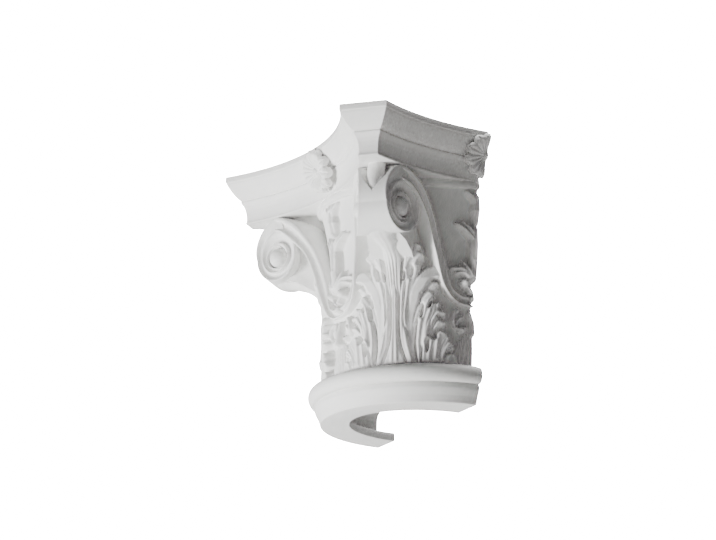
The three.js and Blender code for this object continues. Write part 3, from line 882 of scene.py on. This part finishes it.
def volute_face():
    """The right-hand spiral: points by ring and angle, as [run out, lift, stand]."""
    turn = np.linspace(0, 1, VOLUTE_ANGLES, endpoint=False)
    rim = along_spiral(SPIRAL_EDGE, turn)
    rim = rim + (SPIRAL_EDGE[0, 1] - rim) * smooth(0.93, 1, turn)
    radius = np.linspace(0, 1, VOLUTE_RINGS)[:, None] * (rim - RIM_INSET)[None, :]
    stand = np.zeros(radius.shape)
    for lap in range(2):
        outer = along_spiral(SPIRAL_EDGE, turn + lap)
        inner = along_spiral(SPIRAL_EDGE, turn + lap + 1)
        inward = np.clip((outer - radius) / (outer - inner), 0, 1)
        trough = smooth(0.08, 0.7, inward) * smooth(1, 0.9, inward)
        stand -= along_spiral(SPIRAL_TROUGH, turn + lap) * trough
    stand -= EYE_DEPTH * smooth(EYE_WALL, EYE_WALL - EYE_WALL_WIDTH, radius)
    eye = np.sqrt(np.clip(1 - (radius / EYE_RADIUS) ** 2, 0, 1))
    stand = np.maximum(stand, -EYE_DEPTH + (EYE_DEPTH + EYE_STAND) * eye ** 0.9)
    angle = 2 * np.pi * turn
    rings = list(zip(radius, stand)) + [(rim - inset, s + 0 * rim) for inset, s in RIM_ROWS]
    return np.array([[r * np.sin(angle), r * np.cos(angle), s] for r, s in rings]).transpose(0, 2, 1)


def hub_fans(rows, columns):
    """Triangles that close a grid's first and last rings on two hubs, stored after the grid."""
    total, last = rows * columns, (rows - 1) * columns
    fans = []
    for k in range(columns):
        after = (k + 1) % columns
        fans.append([after, k, total])
        fans.append([last + k, last + after, total + 1])
    return fans


def splayed(run, stand):
    """Distance out and across for a place on the spiral's tilted face."""
    out = VOLUTE_OUT + run * math.cos(VOLUTE_SPLAY) + stand * math.sin(VOLUTE_SPLAY)
    over = VOLUTE_HALF_WIDTH - run * math.sin(VOLUTE_SPLAY) + stand * math.cos(VOLUTE_SPLAY)
    return out, over


def volute_pair():
    """Rings of one spiral from its hub to its rim, over the front band, and back to the other hub."""
    rings = volute_face()
    out, over = splayed(rings[1:, :, 0], rings[1:, :, 2])
    z = VOLUTE_HEIGHT + rings[1:, :, 1]
    rim_out, rim_over, rim_z = out[-1], over[-1], z[-1]
    outside = smooth(VOLUTE_OUT + 4, VOLUTE_OUT + 14, rim_out)
    gap = np.clip((rim_z - GAP_FOOT) * GAP_SLOPE, 0.05, 20) * outside + 0.05
    sunk = GAP_DEPTH * smooth(GAP_FOOT - 1, GAP_FOOT + GAP_RAMP, rim_z) * outside
    strip = [
        (rim_out - sunk * wall, gap * (1 - 0.4 * wall) + (rim_over - gap) * share)
        for share, wall in BAND_ROWS
    ]
    strip.append((rim_out - sunk, gap * 0.4))
    strip_out = np.array([s[0] for s in strip] + [s[0] for s in strip[::-1]])
    strip_over = np.array([s[1] for s in strip] + [-s[1] for s in strip[::-1]])
    all_out = np.vstack([out, strip_out, out[::-1]])
    all_over = np.vstack([over, strip_over, -over[::-1]])
    all_z = np.vstack([z, rim_z + 0 * strip_out, z[::-1]])
    points = diagonal_points(all_out, all_over, all_z)
    hub_out, hub_over = splayed(0, rings[0, 0, 2])
    hubs = diagonal_points(np.array([hub_out, hub_out]), np.array([hub_over, -hub_over]), VOLUTE_HEIGHT)
    rows, columns = points.shape[:2]
    faces = grid_faces(rows, columns, wrap_columns=True).tolist() + hub_fans(rows, columns)
    return np.vstack([points.reshape(-1, 3), hubs]), faces


volutes, volute_faces = volute_pair()
mesh_piece("volutes_right", volutes, volute_faces, 45)
mesh_piece("volutes_left", mirror_corner(volutes), volute_faces, 45)


# ----------------------------------------
# Corner webs: solid foam behind each pair of volutes, between them and the bell. It closes the
# hollow channels at their ends.
# ----------------------------------------
# [distance out, height, half width] round the web's side
WEB_OUTLINE = np.array([
    (112, 176, 26), (138, 184, 27), (158, 196, 28), (176, 206, 26), (200, 214, 20), (215, 225, 17),
    (218, 245, 16), (212, 275, 17), (204, 300, 20), (112, 300, 27),
], float)
WEB_SHARES = (-1, -0.4, 0.4, 1)
web = np.array([
    diagonal_points(WEB_OUTLINE[:, 0], share * WEB_OUTLINE[:, 2], WEB_OUTLINE[:, 1])
    for share in WEB_SHARES
])
mesh_piece("corner_web_right", web, closed_tube(web), 30)
mesh_piece("corner_web_left", mirror_corner(web), closed_tube(web), 30)


# ----------------------------------------
# Tongues: a smooth drop comes down from each horn in the V between its two spirals, and dies away
# on the front band.
# ----------------------------------------
# [distance out, height, half width] down its middle
TONGUE = [
    (216, 300, 11.6), (220, 292, 11.8), (223, 284, 11.4), (226, 276, 10.2), (229, 268, 8.6), (231, 260, 6.6),
    (232.5, 252, 4.4), (233, 245, 2),
]
TONGUE_STATIONS = 40
TONGUE_SIDES = 24
TONGUE_FLATNESS = 0.75


def tongue():
    line = fair(TONGUE, TONGUE_STATIONS)
    angle = np.linspace(0, 2 * np.pi, TONGUE_SIDES, endpoint=False)
    out = line[:, 0:1] + line[:, 2:3] * TONGUE_FLATNESS * np.cos(angle)[None, :]
    over = line[:, 2:3] * np.sin(angle)[None, :]
    return diagonal_points(out, over, line[:, 1:2] + 0 * out)


tongue_rows = tongue()
mesh_piece("tongue_right", tongue_rows, closed_tube(tongue_rows), 60)
mesh_piece("tongue_left", mirror_corner(tongue_rows), closed_tube(tongue_rows), 60)


# ----------------------------------------
# Fleurons: an open flower in the middle of each hollowed side of the abacus, on a tapered root.
# Its petals are one petal set round a circle by Geometry Nodes. The side ones are halved at the
# saw cut.
# ----------------------------------------
PETALS = 10
PETAL_LENGTH = 30.0
PETAL_INNER = 3.0
PETAL_HALF_WIDTH = 8.2
PETAL_BACK = 7
PETAL_ROWS = 26
PETAL_COLUMNS = 15
# A petal holds its own distance from the axis, so the circle it is set on has next to no radius
PETAL_CIRCLE = 0.00001
FLOWER_HEIGHT = 329.0
FLOWER_REACH = 166.0
FLOWER_LEAN = math.radians(21)
# Boss and root as closed outlines of [radius, height]
BOSS = [(0, 5.5), (2.5, 5.2), (4.6, 3.6), (5.6, 1), (5.4, -4), (0, -4)]
ROOT = [(0, -3), (15, -3), (17, -6), (14, -12), (11, -18), (9, -34), (0, -34)]
LATHE_SIDES = 32
# Each part of a halved flower ends a little further from the saw cut than the one before
FLOWER_GAP = 0.4
FLOWER_GAP_STEP = 0.03


def petal_mesh():
    """One petal lying along X, rounded at its tip, arched, and grooved down its middle."""
    t = np.linspace(0, 1, PETAL_ROWS)[:, None]
    w = np.linspace(-1, 1, PETAL_COLUMNS)[None, :]
    half = PETAL_HALF_WIDTH * np.interp(t, [0, 0.35, 0.7, 0.9, 1], [0.25, 0.55, 0.98, 0.86, 0.25])
    x = PETAL_INNER + (PETAL_LENGTH - PETAL_INNER) * t + 0 * w
    y = half * w
    arch = 2.4 * (1 - w ** 2) - 2.2 * np.exp(-(w / 0.22) ** 2) * smooth(0.1, 0.3, t)
    cup = 4.5 * smooth(0.1, 0.75, t) - 4.2 * smooth(0.8, 1.0, t) ** 1.5
    front = np.stack([x, y, arch + cup], axis=2)
    back = np.stack([x, y, cup - PETAL_BACK + 0 * w], axis=2)
    loops = np.concatenate([front, back[:, ::-1]], axis=1)
    mesh = bpy.data.meshes.new("petal")
    mesh.from_pydata((loops.reshape(-1, 3) * 0.001).tolist(), [], closed_tube(loops))
    return mesh


def flower_tree():
    """Geometry Nodes that set one petal round a circle."""
    tree = node_tree("ring_of_petals", [("Petal", "Geometry"), ("Petals", "Int"), ("Material", "Material")])
    given = add_node(tree, "NodeGroupInput").outputs
    circle = add_node(
        tree, "GeometryNodeMeshCircle", {"Radius": PETAL_CIRCLE}, {"Vertices": given["Petals"]}
    )
    index = add_node(tree, "GeometryNodeInputIndex").outputs["Index"]
    part_turn = add_node(tree, "ShaderNodeMath", {"operation": "DIVIDE"})
    tree.links.new(index, part_turn.inputs[0])
    tree.links.new(given["Petals"], part_turn.inputs[1])
    angle = add_node(tree, "ShaderNodeMath", {"operation": "MULTIPLY"})
    tree.links.new(part_turn.outputs["Value"], angle.inputs[0])
    angle.inputs[1].default_value = 2 * math.pi
    turned = add_node(tree, "ShaderNodeCombineXYZ", links={"Z": angle.outputs["Value"]})
    petals = add_node(tree, "GeometryNodeInstanceOnPoints", links={
        "Points": circle.outputs["Mesh"], "Instance": given["Petal"],
        "Rotation": turned.outputs["Vector"],
    })
    end_tree(tree, petals.outputs["Instances"], given["Material"])
    return tree


def lathe(profile, count):
    """A closed outline that starts and ends on the axis, turned about Z: points and faces."""
    angle = np.linspace(0, 2 * np.pi, count, endpoint=False)
    rings = [(r, z) for r, z in profile if r > 0]
    points = [(r * math.cos(a), r * math.sin(a), z) for r, z in rings for a in angle]
    points += [(0, 0, profile[0][1]), (0, 0, profile[-1][1])]
    faces = grid_faces(len(rings), count, wrap_columns=True).tolist() + hub_fans(len(rings), count)
    return np.array(points), faces


def flower_parts():
    """The front flower's closed parts: the boss in the middle, the root behind, and each petal."""
    petals, petal_faces = points_and_faces(
        evaluated_mesh("fleuron", flower_tree(), petal_mesh(), {"Petals": PETALS, "Material": FOAM})
    )
    each, each_faces = len(petals) // PETALS, len(petal_faces) // PETALS
    parts = [lathe(BOSS, LATHE_SIDES), lathe(ROOT, LATHE_SIDES)]
    for k in range(PETALS):
        own_faces = petal_faces[k * each_faces:(k + 1) * each_faces]
        faces = [[corner - k * each for corner in face] for face in own_faces]
        parts.append((petals[k * each:(k + 1) * each], faces))
    placed = []
    for points, faces in parts:
        # The flower's own X is up on the face, its Y across, its Z outward
        up_face, over_face, stand = points[:, 0], points[:, 1], points[:, 2]
        z = FLOWER_HEIGHT + up_face * math.cos(FLOWER_LEAN) - stand * math.sin(FLOWER_LEAN)
        reach = FLOWER_REACH + up_face * math.sin(FLOWER_LEAN) + stand * math.cos(FLOWER_LEAN)
        placed.append((np.stack([over_face, -reach, z], axis=1), faces))
    return placed


def joined(parts):
    """Several closed parts as one list of points and faces."""
    points, faces = np.zeros((0, 3)), []
    for more, more_faces in parts:
        faces += [[k + len(points) for k in face] for face in more_faces]
        points = np.vstack([points, more])
    return points, faces


def cut_half(points, faces, cut):
    """Keeps what lies in front of the saw cut and closes the cut face."""
    shape = bmesh.new()
    made = [shape.verts.new(p) for p in points]
    for face in faces:
        shape.faces.new([made[k] for k in face])
    bmesh.ops.bisect_plane(
        shape, geom=shape.verts[:] + shape.edges[:] + shape.faces[:],
        plane_co=(0, cut, 0), plane_no=(0, 1, 0), clear_outer=True,
    )
    open_edges = [edge for edge in shape.edges if edge.is_boundary]
    if open_edges:
        bmesh.ops.edgeloop_fill(shape, edges=open_edges)
    shape.verts.index_update()
    kept = np.array([tuple(v.co) for v in shape.verts]).reshape(-1, 3)
    kept_faces = [[v.index for v in face.verts] for face in shape.faces]
    shape.free()
    return kept, kept_faces


front_parts = flower_parts()
mesh_piece("fleuron_front", *joined(front_parts), 50)
side_flower, side_faces = joined([
    cut_half(points[:, [1, 0, 2]] * (-1, -1, 1), faces, -FLOWER_GAP - FLOWER_GAP_STEP * k)
    for k, (points, faces) in enumerate(front_parts)
])
mesh_piece("fleuron_right", side_flower, side_faces, 50)
mesh_piece("fleuron_left", mirror_corner(side_flower), side_faces, 50)


# ----------------------------------------
# Floor: plain, pale and painted, well below the hanging capital. The paint was rolled on, so it is
# a shade paler or deeper from one arm's length to the next.
# ----------------------------------------
FLOOR_HEIGHT = -1.6
FLOOR_HALF = 12


def floor_paint():
    material = bpy.data.materials.new("pale_floor_paint")
    material.use_nodes = True
    tree = material.node_tree
    place = add_node(tree, "ShaderNodeTexCoord").outputs["Object"]
    cloud = add_node(tree, "ShaderNodeTexNoise", {"Scale": 1.2, "Detail": 4.0}, {"Vector": place})
    tone = add_node(tree, "ShaderNodeValToRGB", links={"Fac": cloud.outputs["Fac"]})
    tone.color_ramp.elements[0].color = linear("e6e6e4")
    tone.color_ramp.elements[1].color = linear("ececea")
    shader = tree.nodes["Principled BSDF"]
    shader.inputs["Roughness"].default_value = 0.8
    tree.links.new(tone.outputs["Color"], shader.inputs["Base Color"])
    return material


floor_corners = [
    (side * FLOOR_HALF, end * FLOOR_HALF) for side, end in ((-1, -1), (1, -1), (1, 1), (-1, 1))
]
floor_mesh = bpy.data.meshes.new("floor")
floor_mesh.from_pydata([(x, y, FLOOR_HEIGHT) for x, y in floor_corners], [], [(0, 1, 2, 3)])
floor_mesh.materials.append(floor_paint())
floor = bpy.data.objects.new("floor", floor_mesh)
bpy.context.scene.collection.objects.link(floor)
